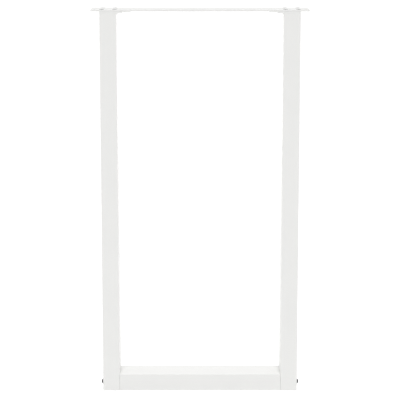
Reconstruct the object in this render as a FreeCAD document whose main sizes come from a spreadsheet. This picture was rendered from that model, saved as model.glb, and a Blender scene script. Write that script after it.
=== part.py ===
import FreeCAD, Part
import Sketcher
import enum
import math
import os

# A U shaped steel leg that carries one end of a table top.
# Two upright tubes stand on the floor with a third tube laid between their lower ends.
# A long flat plate lies on top and is screwed to a welded flange on each upright.
# X runs along the top plate, Y is the depth of the tubes, Z is up.
# The origin is on the floor, in the middle of the leg.

# Driving dimensions in millimetres: alias, value, what it is
SIZES = (
    ("overall_height", 720, "floor to the underside of the table top"),
    ("plate_length", 400, "length of the top plate"),
    ("frame_depth", 60, "depth of the plate, the flanges and all three tubes"),
    ("plate_overhang", 16.3, "how far the top plate runs past each post"),
    ("plate_thickness", 3, "thickness of the top plate"),
    ("plate_corner_radius", 2, "corners of the top plate and the flanges, seen from above"),
    ("edge_break", 0.3, "small chamfer along the top plate's upper and lower rims"),
    ("tube_width", 31.6, "narrow side of the rectangular tube"),
    ("tube_wall", 1.2, "wall of the rectangular tube"),
    ("tube_outer_radius", 1.5, "outer corner radius of the tube"),
    ("tube_inner_radius", 0.5, "inner corner radius of the tube"),
    ("flange_thickness", 3, "thickness of the flange welded on each post"),
    ("flange_reach", 11, "how far the flange runs past the inner side of its post"),
    ("tongue_reach", 14, "how far the tongue runs on past the flange"),
    ("tongue_width", 18, "width of the tongue"),
    ("tongue_tip_radius", 5, "rounded corners at the tip of the tongue"),
    ("tongue_root_radius", 2, "rounded corners where the tongue leaves the flange"),
    ("weld_leg", 1.5, "weld bead between a post's inner side and its flange"),
    ("top_hole_diameter", 5.5, "holes for the table top's own screws"),
    ("end_hole_inset", 6.4, "end of the top plate to the middle of its end holes"),
    ("hole_row_inset", 11, "front and back edge of the plate to the rows of screws and holes"),
    ("screw_diameter", 5, "thread of the flange screws"),
    ("screw_head_diameter", 9.4, "flush countersunk head of the flange screws"),
    ("screw_run_out", 2, "how far a flange screw comes out under its flange"),
    ("screw_socket", 3, "across the flats of the flange screws' hexagon socket"),
    ("screw_socket_depth", 1.6, "depth of the flange screws' socket"),
    ("screw_wall_gap", 0.35, "flange screw to the inner wall of the post"),
    ("screw_hole_play", 0.5, "added to the screw's diameter for the hole in the top plate"),
    ("bolt_diameter", 5, "thread of the side bolts"),
    ("bolt_head_diameter", 9.5, "round head of the side bolts"),
    ("bolt_head_height", 2.75, "height of the side bolts' head"),
    ("bolt_head_rim", 0.4, "upright rim under the dome of the side bolts' head"),
    ("bolt_head_flat", 5, "flat middle of the side bolts' head"),
    ("bolt_socket", 3, "across the flats of the side bolts' hexagon socket"),
    ("bolt_socket_depth", 1.5, "depth of the side bolts' socket"),
    ("bolt_run_out", 3.4, "how far a side bolt comes out behind the bar's end plate"),
    ("bolt_row_inset", 10, "front and back of the post to the side bolts"),
    ("bolt_hole_play", 0.5, "added to the bolt's diameter for the holes in the post"),
    ("thread_gap", 0.04, "between a thread's crest and its tapped hole, all round"),
    ("seat_gap", 0.04, "between a countersunk head and its seat"),
    ("end_plate_thickness", 5, "tapped plate in each end of the bottom bar"),
    ("fit_gap", 0.3, "around the plugs and end plates that are slid into the tubes"),
    ("plug_height", 9, "height of the plug in the lower end of a post"),
    ("plug_floor", 2.5, "closed floor of the plug"),
    ("plug_wall", 1.8, "walls and ribs of the plug"),
)

# Places and sizes that follow from the driving dimensions
POST_OUTER_X = "(Sizes.plate_length / 2 - Sizes.plate_overhang)"
POST_INNER_X = f"({POST_OUTER_X} - Sizes.tube_width)"
POST_MIDDLE_X = f"({POST_OUTER_X} - Sizes.tube_width / 2)"
PLATE_UNDERSIDE_Z = "(Sizes.overall_height - Sizes.plate_thickness)"
POST_LENGTH = "(Sizes.overall_height - Sizes.plate_thickness - Sizes.flange_thickness)"
BAR_LENGTH = f"(2 * {POST_INNER_X})"
BAR_MIDDLE_Z = "(Sizes.tube_width / 2)"
BORE_WIDTH = "(Sizes.tube_width - 2 * Sizes.tube_wall)"
BORE_DEPTH = "(Sizes.frame_depth - 2 * Sizes.tube_wall)"
INSERT_WIDTH = f"({BORE_WIDTH} - 2 * Sizes.fit_gap)"
INSERT_DEPTH = f"({BORE_DEPTH} - 2 * Sizes.fit_gap)"
SCREW_SPACING_X = f"({BORE_WIDTH} - Sizes.screw_diameter - 2 * Sizes.screw_wall_gap)"
HOLE_SPACING_Y = "(Sizes.frame_depth - 2 * Sizes.hole_row_inset)"
BOLT_SPACING_Y = "(Sizes.frame_depth - 2 * Sizes.bolt_row_inset)"
SCREW_LENGTH = "(Sizes.plate_thickness + Sizes.flange_thickness + Sizes.screw_run_out)"
BOLT_LENGTH = "(Sizes.tube_width + Sizes.end_plate_thickness + Sizes.bolt_run_out)"
FLANGE_TIP = "(Sizes.tube_width / 2 + Sizes.flange_reach + Sizes.tongue_reach)"

COUNTERSINK_ANGLE = 90
HEXAGON_SIDES = 6
PLUG_CHAMBERS = 3
SIDES = {"left": -1, "right": 1}

# How near two places have to be to count as the same
SAME_PLACE = 1e-3


class Point(enum.IntEnum):
    """The points of a line or an arc in a sketch."""

    START = 1
    END = 2
    CENTRE = 3


class Axis(enum.IntEnum):
    """The sketch's own axes."""

    ACROSS = -1
    UP = -2


SKETCH_ORIGIN = (Axis.ACROSS, Point.START)

doc = FreeCAD.newDocument("TableLeg")
nodes = []


def make_sheet():
    """Puts every driving dimension in a named cell."""
    sheet = doc.addObject("Spreadsheet::Sheet", "Sizes")
    for row, (alias, value, note) in enumerate(SIZES, start=1):
        sheet.set(f"A{row}", alias)
        sheet.set(f"B{row}", str(value))
        sheet.set(f"C{row}", note)
        sheet.setAlias(f"B{row}", alias)
    doc.recompute()
    return sheet


sheet = make_sheet()


def size(expression):
    """Works an expression out with the values in the sheet."""
    return float(sheet.evalExpression(expression))


def vector(x, y):
    return FreeCAD.Vector(x, y, 0)


def place(item, x=None, y=None, z=None):
    """Ties the item's place to the sheet."""
    for axis, expression in (("x", x), ("y", y), ("z", z)):
        if expression is not None:
            item.setExpression(f"Placement.Base.{axis}", expression)


def new_body(label):
    body = doc.addObject("PartDesign::Body", label)
    body.Label = label
    return body


def kept(item):
    """Marks an object of the document as one of the leg's pieces."""
    nodes.append(item)
    return item


def origin_feature(body, role):
    return next(item for item in body.Origin.OriginFeatures if item.Role == role)


def new_sketch(body, name, plane, offset=None):
    """A sketch on one of the body's origin planes, moved along the given offsets."""
    sketch = body.newObject("Sketcher::SketchObject", f"{body.Name}_{name}")
    sketch.AttachmentSupport = [(origin_feature(body, plane), "")]
    sketch.MapMode = "FlatFace"
    for axis, expression in (offset or {}).items():
        sketch.setExpression(f"AttachmentOffset.Base.{axis}", expression)
    return sketch


def hold(sketch, kind, *where):
    """A relation between lines, arcs and points of the sketch that has no size."""
    sketch.addConstraint(Sketcher.Constraint(kind, *where))


def join_ends(sketch, sides):
    """Makes a closed outline: each side starts where the one before it ends."""
    for side, following in zip(sides, sides[1:] + sides[:1]):
        hold(sketch, "Coincident", side, Point.END, following, Point.START)


def polygon(sketch, points):
    """A closed outline of straight sides, one from each point to the next."""
    ends = points[1:] + points[:1]
    sides = [sketch.addGeometry(Part.LineSegment(start, end)) for start, end in zip(points, ends)]
    join_ends(sketch, sides)
    return sides


def dimension(sketch, expression, kind, *where):
    """A dimension in the sketch whose value comes from the sheet."""
    number = sketch.addConstraint(Sketcher.Constraint(kind, *where, size(expression)))
    sketch.setExpression(f"Constraints[{number}]", expression)


def rectangle(sketch, width, depth):
    """A rectangle about the middle of the sketch."""
    right = size(width) / 2
    far = size(depth) / 2
    corners = [vector(-right, -far), vector(right, -far), vector(right, far), vector(-right, far)]
    near_side, right_side, far_side, left_side = polygon(sketch, corners)
    for side in (near_side, far_side):
        hold(sketch, "Horizontal", side)
    for side in (right_side, left_side):
        hold(sketch, "Vertical", side)
    hold(sketch, "Symmetric", near_side, Point.START, far_side, Point.START, *SKETCH_ORIGIN)
    dimension(sketch, width, "DistanceX", near_side, Point.START, near_side, Point.END)
    dimension(sketch, depth, "DistanceY", right_side, Point.START, right_side, Point.END)


def rounded_rectangle(sketch, width, depth, radius):
    """A rectangle with round corners about the middle of the sketch."""
    corner = size(radius)
    reach_x = size(width) / 2 - corner
    reach_y = size(depth) / 2 - corner
    first = sketch.GeometryCount
    quarter = math.pi / 2
    # Each turn adds one straight side and the round corner that follows it
    for turn in range(4):
        along = FreeCAD.Rotation(FreeCAD.Vector(0, 0, 1), 90 * turn)
        side, across = (reach_x, reach_y) if turn % 2 == 0 else (reach_y, reach_x)
        start = along.multVec(vector(-side, -across - corner))
        end = along.multVec(vector(side, -across - corner))
        middle = along.multVec(vector(side, -across))
        circle = Part.Circle(middle, FreeCAD.Vector(0, 0, 1), corner)
        from_angle = quarter * (turn - 1)
        sketch.addGeometry(Part.LineSegment(start, end))
        sketch.addGeometry(Part.ArcOfCircle(circle, from_angle, from_angle + quarter))
    sides = [first, first + 2, first + 4, first + 6]
    corners = [first + 1, first + 3, first + 5, first + 7]
    for turn in range(4):
        following = sides[(turn + 1) % 4]
        hold(sketch, "Tangent", sides[turn], Point.END, corners[turn], Point.START)
        hold(sketch, "Tangent", corners[turn], Point.END, following, Point.START)
        level = "Horizontal" if turn % 2 == 0 else "Vertical"
        hold(sketch, level, sides[turn])
    for corner_arc in corners[1:]:
        hold(sketch, "Equal", corners[0], corner_arc)
    opposite = (sides[0], Point.START, sides[2], Point.START)
    hold(sketch, "Symmetric", *opposite, *SKETCH_ORIGIN)
    dimension(sketch, radius, "Radius", corners[0])
    dimension(sketch, width, "DistanceX", sides[3], Point.START, sides[1], Point.START)
    dimension(sketch, depth, "DistanceY", sides[0], Point.START, sides[2], Point.START)


def circle_at(sketch, x, y, diameter):
    """A circle whose middle and diameter come from the sheet."""
    middle = vector(size(x), size(y))
    circle = Part.Circle(middle, FreeCAD.Vector(0, 0, 1), size(diameter) / 2)
    number = sketch.addGeometry(circle)
    dimension(sketch, x, "DistanceX", *SKETCH_ORIGIN, number, Point.CENTRE)
    dimension(sketch, y, "DistanceY", *SKETCH_ORIGIN, number, Point.CENTRE)
    dimension(sketch, diameter, "Diameter", number)


def hexagon(sketch, across_flats):
    """A regular hexagon about the middle of the sketch, with a corner on the X axis."""
    across_corners = f"({across_flats} / cos(30 deg))"
    radius = size(across_corners) / 2
    step = 2 * math.pi / HEXAGON_SIDES
    points = [vector(radius * math.cos(step * n), radius * math.sin(step * n)) for n in range(HEXAGON_SIDES)]
    circle = sketch.addGeometry(Part.Circle(vector(0, 0), FreeCAD.Vector(0, 0, 1), radius), True)
    hold(sketch, "Coincident", circle, Point.CENTRE, *SKETCH_ORIGIN)
    dimension(sketch, across_corners, "Diameter", circle)
    sides = polygon(sketch, points)
    for side in sides:
        hold(sketch, "PointOnObject", side, Point.START, circle)
    for side in sides[1:]:
        hold(sketch, "Equal", sides[0], side)
    hold(sketch, "PointOnObject", sides[0], Point.START, Axis.ACROSS)


def pad(body, sketch, name, length, both_ways=False):
    """Raises the sketch by a length from the sheet."""
    feature = body.newObject("PartDesign::Pad", f"{body.Name}_{name}")
    feature.Profile = sketch
    feature.setExpression("Length", length)
    if both_ways:
        feature.SideType = "Symmetric"
    doc.recompute()
    return feature


def pocket(body, sketch, name, depth):
    """Sinks the sketch into the body, against the sketch's normal."""
    feature = body.newObject("PartDesign::Pocket", f"{body.Name}_{name}")
    feature.Profile = sketch
    feature.setExpression("Length", depth)
    doc.recompute()
    return feature


def hole(body, sketch, name, diameter, head=None):
    """Drills through at each circle of the sketch, with a countersink where a head is given."""
    feature = body.newObject("PartDesign::Hole", f"{body.Name}_{name}")
    feature.Profile = sketch
    feature.DepthType = "ThroughAll"
    feature.setExpression("Diameter", diameter)
    if head is not None:
        feature.HoleCutType = "Countersink"
        feature.HoleCutCustomValues = True
        feature.HoleCutCountersinkAngle = COUNTERSINK_ANGLE
        feature.setExpression("HoleCutDiameter", head)
    doc.recompute()
    return feature


def repeat(body, feature, name, first, second=None, copies=2):
    """Repeats a feature along one or two of the body's axes. Each entry is an axis and a span."""
    pattern = body.newObject("PartDesign::LinearPattern", f"{body.Name}_{name}")
    pattern.Originals = [feature]
    pattern.Direction = (origin_feature(body, first[0]), [""])
    pattern.setExpression("Length", first[1])
    pattern.Occurrences = copies
    if second is not None:
        pattern.Direction2 = (origin_feature(body, second[0]), [""])
        pattern.setExpression("Length2", second[1])
        pattern.Occurrences2 = copies
    body.Tip = pattern
    doc.recompute()
    return pattern


def mirror(body, features, name, plane):
    """Mirrors features across one of the body's origin planes."""
    mirrored = body.newObject("PartDesign::Mirrored", f"{body.Name}_{name}")
    mirrored.Originals = features
    mirrored.MirrorPlane = (origin_feature(body, plane), [""])
    body.Tip = mirrored
    doc.recompute()
    return mirrored


def same(first, second):
    return abs(first - second) < SAME_PLACE


def dress_edges(body, name, kind, amount, chosen):
    """Fillets or chamfers every edge of the body so far that the test chooses."""
    base = body.Tip
    edges = [f"Edge{n}" for n, edge in enumerate(base.Shape.Edges, start=1) if chosen(edge.BoundBox)]
    if not edges:
        raise RuntimeError(f"{body.Label}: no edge was found for {name}")
    feature = body.newObject(f"PartDesign::{kind}", f"{body.Name}_{name}")
    feature.Base = (base, edges)
    feature.setExpression("Radius" if kind == "Fillet" else "Size", amount)
    doc.recompute()
    return feature


def break_rim(body):
    """Chamfers the upper and lower rim of a plate that lies on its body's XY plane."""

    def lies_flat(box):
        return same(box.ZMin, box.ZMax)

    return dress_edges(body, "rim", "Chamfer", "Sizes.edge_break", lies_flat)


def round_tongue_root(body):
    """Rounds the two inner corners where the tongue leaves the flange."""
    root_x = size("Sizes.tube_width / 2 + Sizes.flange_reach")
    root_y = size("Sizes.tongue_width / 2")

    def in_a_corner(box):
        upright = same(box.XMin, box.XMax) and same(box.YMin, box.YMax)
        return upright and same(box.XMin, root_x) and same(abs(box.YMin), root_y)

    return dress_edges(body, "tongue_root", "Fillet", "Sizes.tongue_root_radius", in_a_corner)


def add_weld(body):
    """A quarter round bead under the flange, along the flat of the post's inner side."""
    corner_x = "Sizes.tube_width / 2"
    corner = vector(size(corner_x), 0)
    leg = size("Sizes.weld_leg")
    sketch = new_sketch(body, "weld_outline", "XZ_Plane")
    circle = Part.Circle(corner, FreeCAD.Vector(0, 0, 1), leg)
    arc = sketch.addGeometry(Part.ArcOfCircle(circle, -math.pi / 2, 0))
    on_flange = sketch.addGeometry(Part.LineSegment(corner + vector(leg, 0), corner))
    on_post = sketch.addGeometry(Part.LineSegment(corner, corner - vector(0, leg)))
    join_ends(sketch, [arc, on_flange, on_post])
    hold(sketch, "Coincident", arc, Point.CENTRE, on_post, Point.START)
    hold(sketch, "Horizontal", on_flange)
    hold(sketch, "Vertical", on_post)
    hold(sketch, "PointOnObject", on_post, Point.START, Axis.ACROSS)
    dimension(sketch, corner_x, "DistanceX", *SKETCH_ORIGIN, on_post, Point.START)
    dimension(sketch, "Sizes.weld_leg", "Radius", arc)
    return pad(body, sketch, "weld", "Sizes.frame_depth - 2 * Sizes.tube_outer_radius", both_ways=True)


def tube(body, plane, length, both_ways=False):
    """A rectangular tube with round corners, inside and out."""
    section = new_sketch(body, "section", plane)
    across = ("Sizes.frame_depth", "Sizes.tube_width")
    bore = (BORE_DEPTH, BORE_WIDTH)
    if plane == "XY_Plane":
        across = across[::-1]
        bore = bore[::-1]
    rounded_rectangle(section, *across, "Sizes.tube_outer_radius")
    rounded_rectangle(section, *bore, "Sizes.tube_inner_radius")
    return pad(body, section, "tube", length, both_ways)


def make_post(side):
    """An upright tube that stands on the floor, drilled through both sides for the side bolts."""
    body = new_body(f"{side}_post")
    tube(body, "XY_Plane", POST_LENGTH)
    drilling = new_sketch(body, "bolt_circle", "YZ_Plane", {"z": "Sizes.tube_width / 2"})
    diameter = "Sizes.bolt_diameter + Sizes.bolt_hole_play"
    circle_at(drilling, f"-{BOLT_SPACING_Y} / 2", BAR_MIDDLE_Z, diameter)
    bolt_hole = hole(body, drilling, "bolt_hole", diameter)
    repeat(body, bolt_hole, "bolt_holes", ("Y_Axis", BOLT_SPACING_Y))
    place(body, x=f"{SIDES[side]} * {POST_MIDDLE_X}")
    return kept(body)


def make_bottom_bar():
    """The same tube laid on the floor between the two posts."""
    body = new_body("bottom_bar")
    tube(body, "YZ_Plane", BAR_LENGTH, both_ways=True)
    place(body, z=BAR_MIDDLE_Z)
    return kept(body)


def make_bar_end_plate(side):
    """A tapped plate in the end of the bottom bar, flush with the tube's cut end."""
    body = new_body(f"{side}_bar_end_plate")
    outline = new_sketch(body, "outline", "YZ_Plane")
    rectangle(outline, INSERT_DEPTH, INSERT_WIDTH)
    pad(body, outline, "plate", "Sizes.end_plate_thickness")
    drilling = new_sketch(body, "bolt_circle", "YZ_Plane", {"z": "Sizes.end_plate_thickness"})
    diameter = "Sizes.bolt_diameter + 2 * Sizes.thread_gap"
    circle_at(drilling, f"-{BOLT_SPACING_Y} / 2", "0", diameter)
    tapped = hole(body, drilling, "tapped_hole", diameter)
    repeat(body, tapped, "tapped_holes", ("Y_Axis", BOLT_SPACING_Y))
    body.Placement.Rotation = FreeCAD.Rotation(FreeCAD.Vector(0, 0, 1), 0 if side == "left" else 180)
    place(body, x=f"{SIDES[side]} * {POST_INNER_X}", z=BAR_MIDDLE_Z)
    return kept(body)


def make_foot_plug(side):
    """A ribbed plug in the lower end of a post, open upwards and flush with the floor."""
    body = new_body(f"{side}_foot_plug")
    outline = new_sketch(body, "outline", "XY_Plane")
    rectangle(outline, INSERT_WIDTH, INSERT_DEPTH)
    pad(body, outline, "block", "Sizes.plug_height")
    chamber_pitch = f"(({INSERT_DEPTH} - Sizes.plug_wall) / {PLUG_CHAMBERS})"
    chamber_span = f"({chamber_pitch} * {PLUG_CHAMBERS - 1})"
    top = {"y": f"-{chamber_span} / 2", "z": "Sizes.plug_height"}
    chamber = new_sketch(body, "chamber_outline", "XY_Plane", top)
    rectangle(chamber, f"{INSERT_WIDTH} - 2 * Sizes.plug_wall", f"{chamber_pitch} - Sizes.plug_wall")
    hollow = pocket(body, chamber, "chamber", "Sizes.plug_height - Sizes.plug_floor")
    repeat(body, hollow, "chambers", ("Y_Axis", chamber_span), copies=PLUG_CHAMBERS)
    place(body, x=f"{SIDES[side]} * {POST_MIDDLE_X}")
    return kept(body)


def make_post_flange(side):
    """The plate welded on a post, with its bead and a round tongue towards the middle."""
    body = new_body(f"{side}_post_flange")
    seat = new_sketch(body, "seat", "XY_Plane", {"x": "Sizes.flange_reach / 2"})
    seat_length = "(Sizes.tube_width + Sizes.flange_reach)"
    rounded_rectangle(seat, seat_length, "Sizes.frame_depth", "Sizes.plate_corner_radius")
    pad(body, seat, "seat_plate", "Sizes.flange_thickness")
    tongue = new_sketch(body, "tongue", "XY_Plane", {"x": f"{FLANGE_TIP} / 2"})
    rounded_rectangle(tongue, FLANGE_TIP, "Sizes.tongue_width", "Sizes.tongue_tip_radius")
    pad(body, tongue, "tongue_plate", "Sizes.flange_thickness")
    round_tongue_root(body)
    add_weld(body)

    drilling = new_sketch(body, "screw_circle", "XY_Plane", {"z": "Sizes.flange_thickness"})
    diameter = "Sizes.screw_diameter + 2 * Sizes.thread_gap"
    circle_at(drilling, f"-{SCREW_SPACING_X} / 2", f"-{HOLE_SPACING_Y} / 2", diameter)
    tapped = hole(body, drilling, "tapped_hole", diameter)
    spans = (("X_Axis", SCREW_SPACING_X), ("Y_Axis", HOLE_SPACING_Y))
    repeat(body, tapped, "tapped_holes", *spans)

    body.Placement.Rotation = FreeCAD.Rotation(FreeCAD.Vector(0, 0, 1), 0 if side == "left" else 180)
    place(body, x=f"{SIDES[side]} * {POST_MIDDLE_X}", z=POST_LENGTH)
    return kept(body)


def make_top_plate():
    """The flat plate under the table top, with countersunk holes over both flanges."""
    body = new_body("top_plate")
    outline = new_sketch(body, "outline", "XY_Plane")
    rounded_rectangle(outline, "Sizes.plate_length", "Sizes.frame_depth", "Sizes.plate_corner_radius")
    pad(body, outline, "plate", "Sizes.plate_thickness")
    break_rim(body)

    upper_face = {"z": "Sizes.plate_thickness"}
    screw_hole = "Sizes.screw_diameter + Sizes.screw_hole_play"
    countersink = "Sizes.screw_head_diameter + 2 * Sizes.seat_gap"
    drilling = new_sketch(body, "screw_circles", "XY_Plane", upper_face)
    for across in (-1, 1):
        for along in (-1, 1):
            x = f"-{POST_MIDDLE_X} + {across} * {SCREW_SPACING_X} / 2"
            circle_at(drilling, x, f"{along} * {HOLE_SPACING_Y} / 2", screw_hole)
    screw_holes = hole(body, drilling, "screw_holes", screw_hole, countersink)

    drilling = new_sketch(body, "end_circles", "XY_Plane", upper_face)
    for along in (-1, 1):
        x = "-Sizes.plate_length / 2 + Sizes.end_hole_inset"
        circle_at(drilling, x, f"{along} * {HOLE_SPACING_Y} / 2", "Sizes.top_hole_diameter")
    end_holes = hole(body, drilling, "end_holes", "Sizes.top_hole_diameter")

    mirror(body, [screw_holes, end_holes], "right_holes", "YZ_Plane")
    place(body, z=PLATE_UNDERSIDE_Z)
    return kept(body)


def turned_profile(sketch, corners):
    """A closed outline of straight sides. Each corner is an x and a y from the sheet."""
    sides = polygon(sketch, [vector(size(x), size(y)) for x, y in corners])
    for side, (x, y) in zip(sides, corners):
        corner = (side, Point.START)
        if x == "0":
            hold(sketch, "PointOnObject", *corner, Axis.UP)
        else:
            dimension(sketch, x, "DistanceX", *SKETCH_ORIGIN, *corner)
        if y == "0":
            hold(sketch, "PointOnObject", *corner, Axis.ACROSS)
        else:
            dimension(sketch, y, "DistanceY", *SKETCH_ORIGIN, *corner)


def turn(body, sketch, name):
    """Turns the outline once round the body's Z axis."""
    feature = body.newObject("PartDesign::Revolution", f"{body.Name}_{name}")
    feature.Profile = sketch
    feature.ReferenceAxis = (origin_feature(body, "Z_Axis"), [""])
    feature.Angle = 360
    doc.recompute()
    return feature


def make_screw_model():
    """One countersunk screw, head up, with the flat of its head at z = 0."""
    body = new_body("flange_screw_model")
    radius = "Sizes.screw_diameter / 2"
    head_radius = "Sizes.screw_head_diameter / 2"
    outline = new_sketch(body, "outline", "XZ_Plane")
    turned_profile(outline, (
        ("0", "0"),
        (head_radius, "0"),
        (radius, f"-({head_radius} - {radius})"),
        (radius, f"-{SCREW_LENGTH}"),
        ("0", f"-{SCREW_LENGTH}"),
    ))
    turn(body, outline, "screw")
    socket = new_sketch(body, "socket_outline", "XY_Plane")
    hexagon(socket, "Sizes.screw_socket")
    pocket(body, socket, "socket", "Sizes.screw_socket_depth")
    return body


def make_bolt_model():
    """One button head bolt, head up, with the underside of its head at z = 0."""
    body = new_body("side_bolt_model")
    radius = "Sizes.bolt_diameter / 2"
    head_radius = "Sizes.bolt_head_diameter / 2"
    outline = new_sketch(body, "outline", "XZ_Plane")
    turned_profile(outline, (
        ("0", "Sizes.bolt_head_rim"),
        (head_radius, "Sizes.bolt_head_rim"),
        (head_radius, "0"),
        (radius, "0"),
        (radius, f"-{BOLT_LENGTH}"),
        ("0", f"-{BOLT_LENGTH}"),
    ))
    turn(body, outline, "bolt")
    add_dome(body, head_radius)
    socket = new_sketch(body, "socket_outline", "XY_Plane", {"z": "Sizes.bolt_head_height"})
    hexagon(socket, "Sizes.bolt_socket")
    pocket(body, socket, "socket", "Sizes.bolt_socket_depth")
    return body


def add_dome(body, head_radius):
    """The domed part of the bolt's head: an arc about a point on the axis, from rim to flat."""
    rim = size("Sizes.bolt_head_rim")
    top = size("Sizes.bolt_head_height")
    outer = size(head_radius)
    flat = size("Sizes.bolt_head_flat / 2")
    # The arc's middle is on the axis, as far from the rim as from the edge of the flat
    middle = (flat**2 + top**2 - outer**2 - rim**2) / (2 * (top - rim))
    radius = math.hypot(outer, rim - middle)
    from_angle = math.atan2(rim - middle, outer)
    to_angle = math.atan2(top - middle, flat)

    sketch = new_sketch(body, "dome_outline", "XZ_Plane")
    circle = Part.Circle(vector(0, middle), FreeCAD.Vector(0, 0, 1), radius)
    arc = sketch.addGeometry(Part.ArcOfCircle(circle, from_angle, to_angle))
    lid = sketch.addGeometry(Part.LineSegment(vector(flat, top), vector(0, top)))
    axis = sketch.addGeometry(Part.LineSegment(vector(0, top), vector(0, rim)))
    base = sketch.addGeometry(Part.LineSegment(vector(0, rim), vector(outer, rim)))
    join_ends(sketch, [arc, lid, axis, base])
    hold(sketch, "Horizontal", lid)
    hold(sketch, "Horizontal", base)
    hold(sketch, "PointOnObject", axis, Point.START, Axis.UP)
    hold(sketch, "PointOnObject", axis, Point.END, Axis.UP)
    hold(sketch, "PointOnObject", arc, Point.CENTRE, Axis.UP)
    dimension(sketch, "Sizes.bolt_head_height", "DistanceY", *SKETCH_ORIGIN, axis, Point.START)
    dimension(sketch, "Sizes.bolt_head_rim", "DistanceY", *SKETCH_ORIGIN, axis, Point.END)
    dimension(sketch, head_radius, "DistanceX", axis, Point.END, base, Point.END)
    dimension(sketch, "Sizes.bolt_head_flat / 2", "DistanceX", axis, Point.START, lid, Point.START)
    return turn(body, sketch, "dome")


def make_group(label, model, places):
    """One group of copies of a fastener. Each place is an x, a y, a z and a rotation."""
    copies = []
    for number, (x, y, z, rotation) in enumerate(places, start=1):
        copy = doc.addObject("App::Link", f"{label}_{number}")
        copy.LinkedObject = model
        copy.Placement = FreeCAD.Placement(FreeCAD.Vector(), rotation)
        place(copy, x, y, z)
        copies.append(copy)
    group = doc.addObject("Part::Compound", label)
    group.Label = label
    group.Links = copies
    doc.recompute()
    return kept(group)


def make_flange_screws():
    """Four flush screws over each post."""
    upright = FreeCAD.Rotation()
    places = []
    for side in SIDES.values():
        for across in (-1, 1):
            for along in (-1, 1):
                x = f"{side} * {POST_MIDDLE_X} + {across} * {SCREW_SPACING_X} / 2"
                y = f"{along} * {HOLE_SPACING_Y} / 2"
                places.append((x, y, "Sizes.overall_height", upright))
    return make_group("flange_screws", make_screw_model(), places)


def make_side_bolts():
    """Two bolts from the outer side of each post into the end of the bottom bar."""
    places = []
    for side in SIDES.values():
        outwards = FreeCAD.Rotation(FreeCAD.Vector(0, 0, 1), FreeCAD.Vector(side, 0, 0))
        for along in (-1, 1):
            y = f"{along} * {BOLT_SPACING_Y} / 2"
            places.append((f"{side} * {POST_OUTER_X}", y, BAR_MIDDLE_Z, outwards))
    return make_group("side_bolts", make_bolt_model(), places)


def check_document():
    """Stops at the first feature that failed, cut nothing or has no sound shape."""
    for item in doc.Objects:
        if "Invalid" in item.State or "Error" in item.State:
            raise RuntimeError(f"{item.Label} could not be worked out")
        if item.TypeId in ("PartDesign::Pocket", "PartDesign::Hole"):
            if item.Shape.Volume >= item.BaseFeature.Shape.Volume:
                raise RuntimeError(f"{item.Label} removes nothing")
    for item in nodes:
        if item.Shape.isNull() or not item.Shape.isValid():
            raise RuntimeError(f"{item.Label} has no sound shape")


def build():
    """Makes every piece of the leg and writes each to its own file."""
    for side in SIDES:
        make_post(side)
        make_post_flange(side)
        make_foot_plug(side)
        make_bar_end_plate(side)
    make_bottom_bar()
    make_top_plate()
    make_flange_screws()
    make_side_bolts()
    doc.recompute()
    check_document()
    os.makedirs("parts", exist_ok=True)
    for item in nodes:
        item.Shape.exportStep(f"parts/{item.Label}.step")
        box = item.Shape.BoundBox
        print(
            f"{item.Label}: {len(item.Shape.Solids)} solids, {item.Shape.Volume:.1f} mm3,"
            f" x {box.XMin:.2f} to {box.XMax:.2f}, y {box.YMin:.2f} to {box.YMax:.2f},"
            f" z {box.ZMin:.2f} to {box.ZMax:.2f}"
        )


build()
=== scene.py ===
import enum
import logging
import math
from dataclasses import dataclass
from typing import Any, Union

import bmesh
import bpy
import numpy as np
from mathutils import Euler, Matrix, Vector


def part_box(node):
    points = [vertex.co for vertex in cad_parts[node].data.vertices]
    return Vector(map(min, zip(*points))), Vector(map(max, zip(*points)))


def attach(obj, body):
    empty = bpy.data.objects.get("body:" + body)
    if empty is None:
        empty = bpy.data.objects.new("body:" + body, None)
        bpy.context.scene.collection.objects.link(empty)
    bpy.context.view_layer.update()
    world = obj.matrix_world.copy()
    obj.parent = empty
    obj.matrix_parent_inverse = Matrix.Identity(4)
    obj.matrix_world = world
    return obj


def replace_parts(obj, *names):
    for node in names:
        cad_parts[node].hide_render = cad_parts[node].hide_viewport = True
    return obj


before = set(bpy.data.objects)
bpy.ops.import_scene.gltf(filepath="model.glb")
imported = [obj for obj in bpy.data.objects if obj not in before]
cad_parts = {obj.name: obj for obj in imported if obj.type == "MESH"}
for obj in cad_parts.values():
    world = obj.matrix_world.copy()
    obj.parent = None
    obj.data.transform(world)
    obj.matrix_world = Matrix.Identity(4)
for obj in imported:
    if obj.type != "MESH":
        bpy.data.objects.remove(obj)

log = logging.getLogger("table_leg")

MM = 0.001
ROOT = "root"
SHARP_ANGLE = math.radians(32)
DOUBLES = 1e-7
HEXAGON_STEP = math.radians(60)

# An edge's mask is full where the rounded normal has turned so far that one less its cosine is this much
EDGE_SAMPLES = 6
EDGE_TURN = 0.12

# The numbered sockets of a Mix node that mixes colours
MIX_SHARE = 0
MIX_FIRST = 6
MIX_SECOND = 7
MIX_RESULT = 2

Colour = tuple[float, float, float]
Pair = tuple[float, float]
Value = Union["Signal", float]


class Slot(enum.Enum):
    """The record's material slots."""

    WHITE_COAT = "white_powder_coat"
    WHITE_PLASTIC = "white_plastic"
    DARK_FASTENER = "dark_fastener"


class Side(enum.Enum):
    """The two ends of the leg, with the sign of their x."""

    LEFT = -1
    RIGHT = 1

    @property
    def word(self) -> str:
        """The name as it stands in the names of the nodes."""
        return self.name.lower()


class Outline(enum.Enum):
    """How a row of a turned part runs round its axis."""

    ROUND = 0
    HEXAGON = 1


# Shader maths


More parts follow.
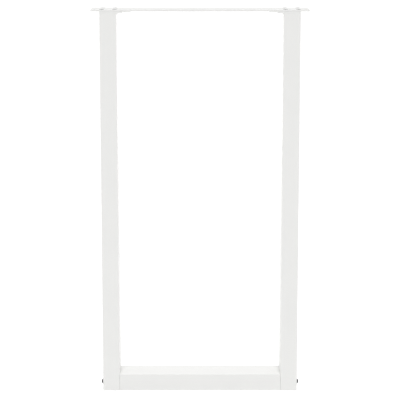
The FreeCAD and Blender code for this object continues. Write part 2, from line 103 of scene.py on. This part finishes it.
class Signal:
    """An output socket of a node tree. An expression on signals adds the Math nodes that work it out."""

    def __init__(self, tree: "ShaderTree", socket: bpy.types.NodeSocket) -> None:
        """Wraps a socket of the tree."""
        self.tree = tree
        self.socket = socket

    def _math(self, operation: str, *values: Value, clamp: bool = False) -> "Signal":
        """Adds a Math node.

        Args:
            operation: the Math node's operation.
            values: its inputs, numbers or signals.
            clamp: keeps the result between 0 and 1.

        Returns:
            The node's value.
        """
        settings = {"operation": operation, "use_clamp": clamp}
        return self.tree.add("ShaderNodeMath", settings, dict(enumerate(values)))["Value"]

    def __add__(self, other: Value) -> "Signal":
        """self + other"""
        return self._math("ADD", self, other)

    def __radd__(self, other: Value) -> "Signal":
        """other + self"""
        return self._math("ADD", other, self)

    def __sub__(self, other: Value) -> "Signal":
        """self - other"""
        return self._math("SUBTRACT", self, other)

    def __rsub__(self, other: Value) -> "Signal":
        """other - self"""
        return self._math("SUBTRACT", other, self)

    def __mul__(self, other: Value) -> "Signal":
        """self * other"""
        return self._math("MULTIPLY", self, other)

    def __rmul__(self, other: Value) -> "Signal":
        """other * self"""
        return self._math("MULTIPLY", other, self)

    def ramp(self, low: float, high: float) -> "Signal":
        """0 up to low, 1 from high on, and a straight line between them."""
        return self._math("MULTIPLY", self - low, 1 / (high - low), clamp=True)

    def between(self, low: float, high: float) -> "Signal":
        """low where the signal is 0, high where it is 1, and a straight line between them."""
        return low + (high - low) * self

    def mixed(self, other: "Signal", share: float) -> "Signal":
        """The signal with a share of another in its place."""
        return self * (1 - share) + other * share


class Outputs:
    """The outputs of a node, by name."""

    def __init__(self, tree: "ShaderTree", node: bpy.types.Node) -> None:
        """Remembers the node."""
        self.tree = tree
        self.node = node

    def __getitem__(self, name: str | int) -> Signal:
        """The output of that name or number."""
        return Signal(self.tree, self.node.outputs[name])


class ShaderTree:
    """The nodes of one material."""

    def __init__(self, name: str) -> None:
        """Starts a material with an empty tree.

        Args:
            name: the material's name.
        """
        self.material = bpy.data.materials.new(name)
        self.material.use_nodes = True
        self.tree = self.material.node_tree
        self.tree.nodes.clear()

    def add(self, kind: str, settings: dict[str, Any], inputs: dict[str | int, Any]) -> Outputs:
        """Adds a node.

        Args:
            kind: the node's type.
            settings: its properties, which are set first.
            inputs: a value or a signal for each named or numbered input.

        Returns:
            The node's outputs.
        """
        node = self.tree.nodes.new(kind)
        for name, value in settings.items():
            setattr(node, name, value)
        for name, value in inputs.items():
            if isinstance(value, Signal):
                self.tree.links.new(value.socket, node.inputs[name])
            else:
                node.inputs[name].default_value = value
        return Outputs(self, node)

    def place(self) -> Signal:
        """Where a point is on the object, in metres."""
        return self.add("ShaderNodeTexCoord", {}, {})["Object"]

    def noise(self, place: Signal, size: float, detail: float = 2.0) -> Signal:
        """Soft noise between 0 and 1.

        Args:
            place: the point.
            size: how far apart its lumps are, in metres.
            detail: how many finer layers it holds.

        Returns:
            The noise.
        """
        inputs = {"Vector": place, "Scale": 1 / size, "Detail": detail}
        return self.add("ShaderNodeTexNoise", {"noise_dimensions": "3D"}, inputs)["Fac"]

    def soft_edges(self, radius: float) -> tuple[Signal, Signal]:
        """Rounds sharp edges in the shading.

        Args:
            radius: how wide the rounded edge is, in metres.

        Returns:
            The rounded normal, and a mask that is 1 on the edges and 0 on the faces.
        """
        rounded = self.add("ShaderNodeBevel", {"samples": EDGE_SAMPLES}, {"Radius": radius})["Normal"]
        flat = self.add("ShaderNodeNewGeometry", {}, {})["Normal"]
        dot = self.add("ShaderNodeVectorMath", {"operation": "DOT_PRODUCT"}, {0: rounded, 1: flat})["Value"]
        return rounded, (1 - dot).ramp(0.0, EDGE_TURN)

    @staticmethod
    def colour(value: Colour | Signal) -> tuple[float, ...] | Signal:
        """A colour as a socket takes it: a signal as it is, and three numbers with an alpha of 1."""
        return value if isinstance(value, Signal) else (*value, 1.0)

    def blend(self, share: Signal, first: Colour | Signal, second: Colour | Signal) -> Signal:
        """A colour between two.

        Args:
            share: how much of the second colour shows.
            first: the colour at 0.
            second: the colour at 1.

        Returns:
            The blended colour.
        """
        inputs = {MIX_SHARE: share, MIX_FIRST: self.colour(first), MIX_SECOND: self.colour(second)}
        return self.add("ShaderNodeMix", {"data_type": "RGBA"}, inputs)[MIX_RESULT]

    def bump(self, height: Signal, depth: float, normal: Signal) -> Signal:
        """A normal that follows a height.

        Args:
            height: the height, from 0 to 1.
            depth: how deep 1 is, in metres.
            normal: the normal of the surface below.

        Returns:
            The bumped normal.
        """
        inputs = {"Height": height, "Strength": 1.0, "Distance": depth, "Normal": normal}
        return self.add("ShaderNodeBump", {}, inputs)["Normal"]

    def surface(self, inputs: dict[str, Any]) -> bpy.types.Material:
        """Ends the tree in one principled surface.

        Args:
            inputs: a value or a signal for each of the surface's inputs.

        Returns:
            The material.
        """
        shader = self.add("ShaderNodeBsdfPrincipled", {}, inputs)["BSDF"]
        self.add("ShaderNodeOutputMaterial", {}, {"Surface": shader})
        return self.material


# Finishes


@dataclass(frozen=True)
class PowderCoat:
    """White powder coat: a warm white with the fine dimples of a baked coat, thinner along the edges."""

    thick: Colour = (0.829, 0.829, 0.814)
    thin: Colour = (0.792, 0.793, 0.784)
    cloud: float = 45 * MM
    cloud_span: Pair = (0.35, 0.75)
    cloud_thinness: float = 0.25
    edge: float = 0.5 * MM
    edge_thinness: float = 0.6
    dimple: float = 1.3 * MM
    grain: float = 0.35 * MM
    grain_in_height: float = 0.2
    grain_in_gloss: float = 0.4
    depth: float = 0.010 * MM
    smooth: float = 0.34
    rough: float = 0.46
    refraction: float = 1.5

    def material(self) -> bpy.types.Material:
        """Makes the material.

        Returns:
            A satin white whose tone, gloss and height vary a little.
        """
        tree = ShaderTree("white powder coat")
        place = tree.place()
        rounded, edges = tree.soft_edges(self.edge)
        clouds = tree.noise(place, self.cloud)
        dimples = tree.noise(place, self.dimple, detail=1.0)
        grain = tree.noise(place, self.grain, detail=1.0)
        thinness = clouds.ramp(*self.cloud_span) * self.cloud_thinness + edges * self.edge_thinness
        height = dimples.mixed(grain, self.grain_in_height)
        return tree.surface({
            "Base Color": tree.blend(thinness, self.thick, self.thin),
            "Roughness": clouds.mixed(grain, self.grain_in_gloss).between(self.smooth, self.rough),
            "IOR": self.refraction,
            "Normal": tree.bump(height, self.depth, rounded),
        })


@dataclass(frozen=True)
class MouldedPlastic:
    """White moulded plastic with a fine spark eroded texture."""

    pale: Colour = (0.79, 0.79, 0.775)
    dull: Colour = (0.70, 0.70, 0.685)
    flow: float = 14 * MM
    flow_span: Pair = (0.35, 0.80)
    flow_dullness: float = 0.5
    edge: float = 0.25 * MM
    edge_dullness: float = 0.2
    texture: float = 0.4 * MM
    depth: float = 0.02 * MM
    smooth: float = 0.42
    rough: float = 0.58
    refraction: float = 1.46

    def material(self) -> bpy.types.Material:
        """Makes the material.

        Returns:
            A matt white with faint flow marks.
        """
        tree = ShaderTree("white moulded plastic")
        place = tree.place()
        rounded, edges = tree.soft_edges(self.edge)
        flow = tree.noise(place, self.flow, detail=3.0)
        texture = tree.noise(place, self.texture, detail=3.0)
        dullness = flow.ramp(*self.flow_span) * self.flow_dullness + edges * self.edge_dullness
        return tree.surface({
            "Base Color": tree.blend(dullness, self.pale, self.dull),
            "Roughness": texture.between(self.smooth, self.rough),
            "IOR": self.refraction,
            "Normal": tree.bump(texture, self.depth, rounded),
        })


@dataclass(frozen=True)
class BlackZinc:
    """Black passivated zinc on steel: nearly black, with bare metal where the edges are rubbed."""

    dark: Colour = (0.014, 0.014, 0.015)
    cloudy: Colour = (0.030, 0.029, 0.031)
    rubbed: Colour = (0.16, 0.16, 0.165)
    cloud: float = 1.6 * MM
    cloud_span: Pair = (0.30, 0.75)
    edge: float = 0.12 * MM
    wear_span: Pair = (0.20, 0.60)
    wear: float = 0.7
    grain: float = 0.12 * MM
    grain_in_gloss: float = 0.5
    depth: float = 0.003 * MM
    smooth: float = 0.38
    rough: float = 0.56
    refraction: float = 1.4

    def material(self) -> bpy.types.Material:
        """Makes the material.

        Returns:
            A dark satin metal.
        """
        tree = ShaderTree("black zinc")
        place = tree.place()
        rounded, edges = tree.soft_edges(self.edge)
        clouds = tree.noise(place, self.cloud, detail=3.0)
        grain = tree.noise(place, self.grain)
        plated = tree.blend(clouds.ramp(*self.cloud_span), self.dark, self.cloudy)
        worn = edges * clouds.ramp(*self.wear_span) * self.wear
        return tree.surface({
            "Base Color": tree.blend(worn, plated, self.rubbed),
            "Roughness": clouds.mixed(grain, self.grain_in_gloss).between(self.smooth, self.rough),
            "Metallic": worn,
            "IOR": self.refraction,
            "Normal": tree.bump(grain, self.depth, rounded),
        })


@dataclass(frozen=True)
class StudioFloor:
    """The pale sweep that the leg stands on, lit from within so that it stays white."""

    tone: Colour = (0.45, 0.45, 0.45)
    light: Colour = (1.0, 1.0, 1.0)
    glow: float = 0.75
    mottle: float = 0.6
    smooth: float = 0.90
    rough: float = 0.95

    def material(self) -> bpy.types.Material:
        """Makes the material.

        Returns:
            A matt, nearly even white.
        """
        tree = ShaderTree("studio floor")
        mottle = tree.noise(tree.place(), self.mottle)
        return tree.surface({
            "Base Color": tree.colour(self.tone),
            "Roughness": mottle.between(self.smooth, self.rough),
            "Specular IOR Level": 0.0,
            "Emission Color": tree.colour(self.light),
            "Emission Strength": self.glow,
        })


# Meshes


def wrapped_quads(rows: int, columns: int) -> np.ndarray:
    """Quads of a grid whose last column meets its first.

    Face (i, j) joins rows i and i + 1 and columns j and j + 1.

    Args:
        rows: points along the grid.
        columns: points round it.

    Returns:
        Four point numbers for each quad.
    """
    row, column = np.meshgrid(np.arange(rows - 1), np.arange(columns), indexing="ij")
    following = (column + 1) % columns
    corners = (
        row * columns + column,
        row * columns + following,
        (row + 1) * columns + following,
        (row + 1) * columns + column,
    )
    return np.stack(corners, axis=-1).reshape(-1, 4)


def make_piece(
    name: str, shells: list[np.ndarray], finish: bpy.types.Material
) -> bpy.types.Object:
    """Makes one object of closed shells, each a grid that is wrapped round and pinched shut at its ends.

    Args:
        name: the piece's name.
        shells: points as arrays of rows by columns by 3, in metres.
        finish: the material.

    Returns:
        The object, which rides on the leg.
    """
    points = np.concatenate([shell.reshape(-1, 3) for shell in shells])
    counts = [shell.shape[0] * shell.shape[1] for shell in shells]
    starts = np.concatenate([[0], np.cumsum(counts)[:-1]])
    quads = np.concatenate([start + wrapped_quads(*shell.shape[:2]) for start, shell in zip(starts, shells)])
    mesh = bpy.data.meshes.new(name)
    mesh.from_pydata(points, [], quads)

    work = bmesh.new()
    work.from_mesh(mesh)
    bmesh.ops.remove_doubles(work, verts=work.verts, dist=DOUBLES)
    bmesh.ops.recalc_face_normals(work, faces=work.faces)
    work.to_mesh(mesh)
    work.free()

    mesh.polygons.foreach_set("use_smooth", np.ones(len(mesh.polygons), dtype=bool))
    mesh.set_sharp_from_angle(angle=SHARP_ANGLE)
    mesh.materials.append(finish)
    piece = bpy.data.objects.new(name, mesh)
    bpy.context.scene.collection.objects.link(piece)
    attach(piece, ROOT)
    log.info("%s: %d faces, in %d shells", name, len(mesh.polygons), len(shells))
    return piece


def dress(node: str, finish: bpy.types.Material) -> None:
    """Gives a node of the CAD model its finish.

    Args:
        node: the node's name.
        finish: the material.
    """
    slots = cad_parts[node].data.materials
    slots.clear()
    slots.append(finish)
    log.info("%s: dressed in %s", node, finish.name)


@dataclass(frozen=True)
class Row:
    """One ring of a turned part: its outline, its radius (to the flats if it has six) and its height."""

    outline: Outline
    radius: float
    height: float


@dataclass
class Fastener:
    """What the leg's screws and bolts have in common: a socket, a turned head and a threaded shank.

    The axis is z. The head is up, and heights go down to the tip. The thread's depth is a share of its pitch,
    and the depth of the cone that drilling leaves in the socket is a share of half the socket's width.
    """

    thread: float
    pitch: float
    socket: float
    socket_depth: float
    thread_depth: float = 0.61
    drill_cone: float = 0.3
    lip: float = 0.09 * MM
    lip_depth: float = 0.18 * MM
    tip_chamfer: float = 0.5 * MM
    columns: int = 72
    rows_per_turn: int = 6

    def socket_rows(self, top: float) -> list[Row]:
        """The hexagon socket, from the pole of its drilled bottom to its countersunk lip.

        Args:
            top: height of the head's flat.

        Returns:
            The rows, from the middle outwards.
        """
        flats = self.socket / 2
        corners = flats / math.cos(HEXAGON_STEP / 2)
        floor = top - self.socket_depth
        return [
            Row(Outline.ROUND, 0.0, floor - self.drill_cone * flats),
            Row(Outline.HEXAGON, flats, floor),
            Row(Outline.HEXAGON, flats, top - self.lip_depth),
            Row(Outline.ROUND, corners + self.lip, top),
        ]

    def thread_rows(self, start: float, end: float) -> list[Row]:
        """The rows of the shank that carry the thread, from start down to end."""
        count = round((start - end) / self.pitch * self.rows_per_turn) + 1
        return [Row(Outline.ROUND, self.thread / 2, float(z)) for z in np.linspace(start, end, count)]

    def tip_rows(self, end: float) -> list[Row]:
        """The chamfered tip, down to the pole in its middle."""
        radius = self.thread / 2 - self.tip_chamfer
        return [Row(Outline.ROUND, radius, end), Row(Outline.ROUND, 0.0, end)]

    def shell(self, rows: list[Row], start: float, end: float) -> np.ndarray:
        """Turns the rows round the axis and cuts the thread into them.

        A round row keeps its radius. A row with six flats is as far out as its radius divided by the cosine
        of the angle to the middle of the nearest flat. Between start and end the radius is lessened by a
        triangle wave of the height in turns less the share of a turn, which is a thread, and the wave fades
        in and out over one turn at each end.

        Args:
            rows: from the socket's pole to the tip's pole.
            start: where the thread begins.
            end: where it stops.

        Returns:
            Points, rows by columns by 3.
        """
        angle = np.arange(self.columns) * (2 * math.pi / self.columns)
        to_flat = 1 / np.cos(angle % HEXAGON_STEP - HEXAGON_STEP / 2)
        radius = np.array([row.radius for row in rows])[:, None]
        height = np.array([row.height for row in rows])[:, None]
        flats = np.array([row.outline.value for row in rows])[:, None]
        out = radius * np.where(flats == Outline.HEXAGON.value, to_flat[None, :], 1.0)

        phase = (height / self.pitch - angle[None, :] / (2 * math.pi)) % 1.0
        wave = 1 - np.abs(2 * phase - 1)
        fade = np.clip((start - height) / self.pitch, 0, 1) * np.clip((height - end) / self.pitch, 0, 1)
        out = out - wave * fade * self.thread_depth * self.pitch
        upright = np.broadcast_to(height, out.shape)
        return np.stack([out * np.cos(angle), out * np.sin(angle), upright], axis=-1)


@dataclass
class FlangeScrews(Fastener):
    """The flush countersunk screws, four over each post, through the top plate into the flange.

    The head's rim is rounded: each pair of rim_rows says how far in from the head's edge and how far down a
    row of the rounding lies, in units of the rim.
    """

    thread: float = 5 * MM
    pitch: float = 0.8 * MM
    socket: float = 3 * MM
    socket_depth: float = 1.6 * MM
    head: float = 9.4 * MM
    sunk: float = 0.04 * MM
    rim: float = 0.08 * MM
    rim_rows: tuple[Pair, ...] = ((2.2, 0.0), (1.2, 0.3), (1.0, 1.0))
    length: float = 8 * MM
    spacing_x: float = 23.5 * MM
    spacing_y: float = 38 * MM

    def screw(self) -> np.ndarray:
        """One screw with the flat of its head at z = 0.

        Returns:
            Points, rows by columns by 3.
        """
        edge = self.head / 2
        neck = self.thread / 2
        under_head = -(edge - neck)
        rows = self.socket_rows(0.0)
        for inward, down in self.rim_rows:
            rows.append(Row(Outline.ROUND, edge - inward * self.rim, -down * self.rim))
        rows.append(Row(Outline.ROUND, neck, under_head))
        thread_end = -(self.length - self.tip_chamfer)
        rows += self.thread_rows(under_head - self.rim, thread_end)
        rows += self.tip_rows(-self.length)
        return self.shell(rows, under_head, thread_end)

    def build(self, finish: bpy.types.Material) -> bpy.types.Object:
        """Makes the eight screws as one piece.

        Args:
            finish: the screws' material.

        Returns:
            The piece, which stands for the plain screws of the CAD model.
        """
        screw = self.screw()
        shells = []
        for side in Side:
            low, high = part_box(f"{side.word}_post")
            middle = (low + high) / 2
            plate_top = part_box("top_plate")[1].z
            for across in (-0.5, 0.5):
                x = middle.x + across * self.spacing_x
                for along in (-0.5, 0.5):
                    y = middle.y + along * self.spacing_y
                    shells.append(screw + np.array((x, y, plate_top - self.sunk)))
        piece = make_piece("flange_screw_set", shells, finish)
        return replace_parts(piece, "flange_screws")


@dataclass
class SideBolts(Fastener):
    """The button head bolts, two through each post into the end of the bottom bar."""

    thread: float = 5 * MM
    pitch: float = 0.8 * MM
    socket: float = 3 * MM
    socket_depth: float = 1.5 * MM
    head: float = 9.5 * MM
    head_height: float = 2.75 * MM
    head_rim: float = 0.4 * MM
    head_flat: float = 5 * MM
    soft: float = 0.1 * MM
    dome_rows: int = 12
    length: float = 40 * MM
    threaded: float = 16 * MM
    spacing_y: float = 40 * MM

    def dome(self) -> list[Row]:
        """The domed part of the head, from the edge of its flat to its rim.

        The rows lie on an arc whose middle is on the axis, as far from the edge of the flat as from the rim.

        Returns:
            The rows, from the flat outwards.
        """
        flat = self.head_flat / 2
        edge = self.head / 2
        rise = self.head_height - self.head_rim
        middle = (flat**2 + self.head_height**2 - edge**2 - self.head_rim**2) / (2 * rise)
        radius = math.hypot(edge, self.head_rim - middle)
        top_angle = math.atan2(self.head_height - middle, flat)
        rim_angle = math.atan2(self.head_rim - middle, edge)
        angles = np.linspace(top_angle, rim_angle, self.dome_rows)
        return [Row(Outline.ROUND, radius * math.cos(a), middle + radius * math.sin(a)) for a in angles]

    def bolt(self) -> np.ndarray:
        """One bolt with the underside of its head at z = 0.

        Returns:
            Points, rows by columns by 3.
        """
        edge = self.head / 2
        neck = self.thread / 2
        rows = self.socket_rows(self.head_height)
        rows.append(Row(Outline.ROUND, self.head_flat / 2 - self.soft, self.head_height))
        rows += self.dome()
        rows += [
            Row(Outline.ROUND, edge, self.soft),
            Row(Outline.ROUND, edge - self.soft, 0.0),
            Row(Outline.ROUND, neck, 0.0),
        ]
        thread_start = -(self.length - self.threaded)
        thread_end = -(self.length - self.tip_chamfer)
        rows += self.thread_rows(thread_start, thread_end)
        rows += self.tip_rows(-self.length)
        return self.shell(rows, thread_start, thread_end)

    def build(self, finish: bpy.types.Material) -> bpy.types.Object:
        """Makes the four bolts as one piece.

        Args:
            finish: the bolts' material.

        Returns:
            The piece, which stands for the plain bolts of the CAD model.
        """
        bolt = self.bolt()
        low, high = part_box("bottom_bar")
        height = (low.z + high.z) / 2
        shells = []
        for side in Side:
            post_low, post_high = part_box(f"{side.word}_post")
            outer = post_low.x if side is Side.LEFT else post_high.x
            # The bolt's axis is laid along x: its height runs outwards, and its own x points up
            laid = np.stack([bolt[..., 2] * side.value, bolt[..., 1], bolt[..., 0]], axis=-1)
            for along in (-0.5, 0.5):
                shells.append(laid + np.array((outer, along * self.spacing_y, height)))
        piece = make_piece("side_bolt_set", shells, finish)
        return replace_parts(piece, "side_bolts")


@dataclass
class FlangeWelds:
    """The rippled weld bead under each flange, along the inner side of its post."""

    leg: float = 1.56 * MM
    ripple: float = 0.13 * MM
    pitch: float = 2.3 * MM
    bow: float = 0.32
    end_margin: float = 1.4 * MM
    taper: float = 1.3 * MM
    rows: int = 420
    columns: int = 14

    def bead(self, reach: float) -> np.ndarray:
        """One bead in the corner between a wall, x = 0, and a ceiling, z = 0, along y.

        Its section is a quarter circle about the corner, closed by the corner itself. The radius swells over
        each ripple as one less the square of the distance from the ripple's middle. The ripples bow forwards
        in the middle of the section by a sine of twice the section's angle, and the radius shrinks to nothing
        at both ends as a circle does.

        Args:
            reach: half the bead's length.

        Returns:
            Points, rows by columns by 3.
        """
        along = np.linspace(-reach, reach, self.rows)[:, None]
        angle = np.linspace(0, math.pi / 2, self.columns - 1)[None, :]
        phase = (along / self.pitch - self.bow * np.sin(2 * angle)) % 1.0
        swell = self.ripple * (1 - (2 * phase - 1) ** 2)
        into_end = np.clip((np.abs(along) - (reach - self.taper)) / self.taper, 0, 1)
        radius = (self.leg + swell) * np.sqrt(1 - into_end**2)
        place = np.broadcast_to(along, radius.shape)
        arc = np.stack([radius * np.cos(angle), place, -radius * np.sin(angle)], axis=-1)
        corner = along[..., None] * np.array((0.0, 1.0, 0.0))
        return np.concatenate([corner, arc], axis=1)

    def build(self, finish: bpy.types.Material) -> bpy.types.Object:
        """Makes both beads as one piece.

        Args:
            finish: the powder coat, which covers the beads as it does the tubes.

        Returns:
            The piece.
        """
        shells = []
        for side in Side:
            low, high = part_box(f"{side.word}_post")
            inner = high.x if side is Side.LEFT else low.x
            bead = self.bead((high.y - low.y) / 2 - self.end_margin)
            shells.append(bead * np.array((-side.value, 1, 1)) + np.array((inner, 0, high.z)))
        return make_piece("flange_weld_beads", shells, finish)


@dataclass
class CoatedFrame:
    """The welded and coated steel of the leg."""

    singles: tuple[str, ...] = ("bottom_bar", "top_plate")
    pairs: tuple[str, ...] = ("post", "post_flange", "bar_end_plate")

    def build(self, finish: bpy.types.Material) -> None:
        """Dresses the tubes and plates of the CAD model.

        Args:
            finish: the powder coat.
        """
        for node in self.singles:
            dress(node, finish)
        for side in Side:
            for word in self.pairs:
                dress(f"{side.word}_{word}", finish)


@dataclass
class FootPlugs:
    """The plugs in the lower ends of the posts."""

    def build(self, finish: bpy.types.Material) -> None:
        """Dresses both plugs of the CAD model."""
        for side in Side:
            dress(f"{side.word}_foot_plug", finish)


@dataclass(frozen=True)
class SoftBox:
    """A rectangular studio light that the camera doesn't see."""

    name: str
    place: tuple[float, float, float]
    turn: tuple[float, float, float]
    width: float
    height: float
    watts: float

    def build(self) -> None:
        """Hangs the light."""
        light = bpy.data.lights.new(self.name, "AREA")
        light.shape = "RECTANGLE"
        light.size = self.width
        light.size_y = self.height
        light.energy = self.watts
        lamp = bpy.data.objects.new(self.name, light)
        lamp.location = self.place
        lamp.rotation_euler = Euler([math.radians(angle) for angle in self.turn])
        lamp.visible_camera = False
        bpy.context.scene.collection.objects.link(lamp)
        log.info("%s: %g W", self.name, self.watts)


@dataclass
class Studio:
    """The floor, the lights and the camera."""

    floor_size: float = 600.0
    floor_gap: float = 0.2 * MM
    sky: float = 0.60
    ceiling_strength: float = 1.20
    ceiling_spread: float = 5.0
    ceiling_lean: float = 8.0
    camera_back: float = 3.05
    camera_height: float = 0.950
    camera_pitch: float = 10.90
    lens: float = 149.1
    boxes: tuple[SoftBox, ...] = (
        SoftBox("left softbox", (-2.2, 0.0, 1.0), (0, -84, 0), 1.6, 2.0, 8.0),
        SoftBox("right softbox", (2.2, 0.0, 1.0), (0, 84, 0), 1.6, 2.0, 8.0),
        SoftBox("backdrop", (0.0, 2.6, 1.2), (-90, 0, 0), 6.0, 2.4, 22.0),
    )

    def floor(self) -> None:
        """Lays the floor just under the leg's feet."""
        reach = self.floor_size / 2
        corners = [(-reach, -reach), (reach, -reach), (reach, reach), (-reach, reach)]
        mesh = bpy.data.meshes.new("studio_floor")
        mesh.from_pydata([(x, y, -self.floor_gap) for x, y in corners], [], [(0, 1, 2, 3)])
        mesh.materials.append(StudioFloor().material())
        floor = bpy.data.objects.new("studio_floor", mesh)
        bpy.context.scene.collection.objects.link(floor)

    def light(self) -> None:
        """Lights the scene evenly from the sky, and a little more from above, both sides and behind.

        The light from above is a sun that leans forwards and makes no highlights. The backdrop behind the leg
        shows in the coat wherever it is seen at a low angle.
        """
        world = bpy.data.worlds.new("studio")
        world.use_nodes = True
        background = world.node_tree.nodes["Background"].inputs
        background["Color"].default_value = (1.0, 1.0, 1.0, 1.0)
        background["Strength"].default_value = self.sky
        bpy.context.scene.world = world
        ceiling = bpy.data.lights.new("lit ceiling", "SUN")
        ceiling.energy = self.ceiling_strength
        ceiling.angle = math.radians(self.ceiling_spread)
        lamp = bpy.data.objects.new("lit ceiling", ceiling)
        lamp.rotation_euler = Euler((math.radians(self.ceiling_lean), 0.0, 0.0))
        lamp.visible_glossy = False
        bpy.context.scene.collection.objects.link(lamp)
        for box in self.boxes:
            box.build()

    def camera(self) -> None:
        """Sets the camera in front of the leg, a little above it and looking down."""
        data = bpy.data.cameras.new("camera")
        data.lens = self.lens
        camera = bpy.data.objects.new("camera", data)
        camera.location = Vector((0.0, -self.camera_back, self.camera_height))
        camera.rotation_euler = Euler((math.radians(90 - self.camera_pitch), 0.0, 0.0))
        bpy.context.scene.collection.objects.link(camera)
        bpy.context.scene.camera = camera

    def build(self) -> None:
        """Sets the whole studio up, with plain colours that whites don't lose."""
        self.floor()
        self.light()
        self.camera()
        bpy.context.scene.view_settings.view_transform = "Standard"


def main() -> None:
    """Builds and dresses the leg."""
    logging.basicConfig(level=logging.INFO, format="%(name)s %(message)s", force=True)
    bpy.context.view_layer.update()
    coat = PowderCoat().material()
    zinc = BlackZinc().material()
    CoatedFrame().build(coat)
    FootPlugs().build(MouldedPlastic().material())
    FlangeWelds().build(coat)
    FlangeScrews().build(zinc)
    SideBolts().build(zinc)
    Studio().build()


if __name__ == "__main__":
    main()
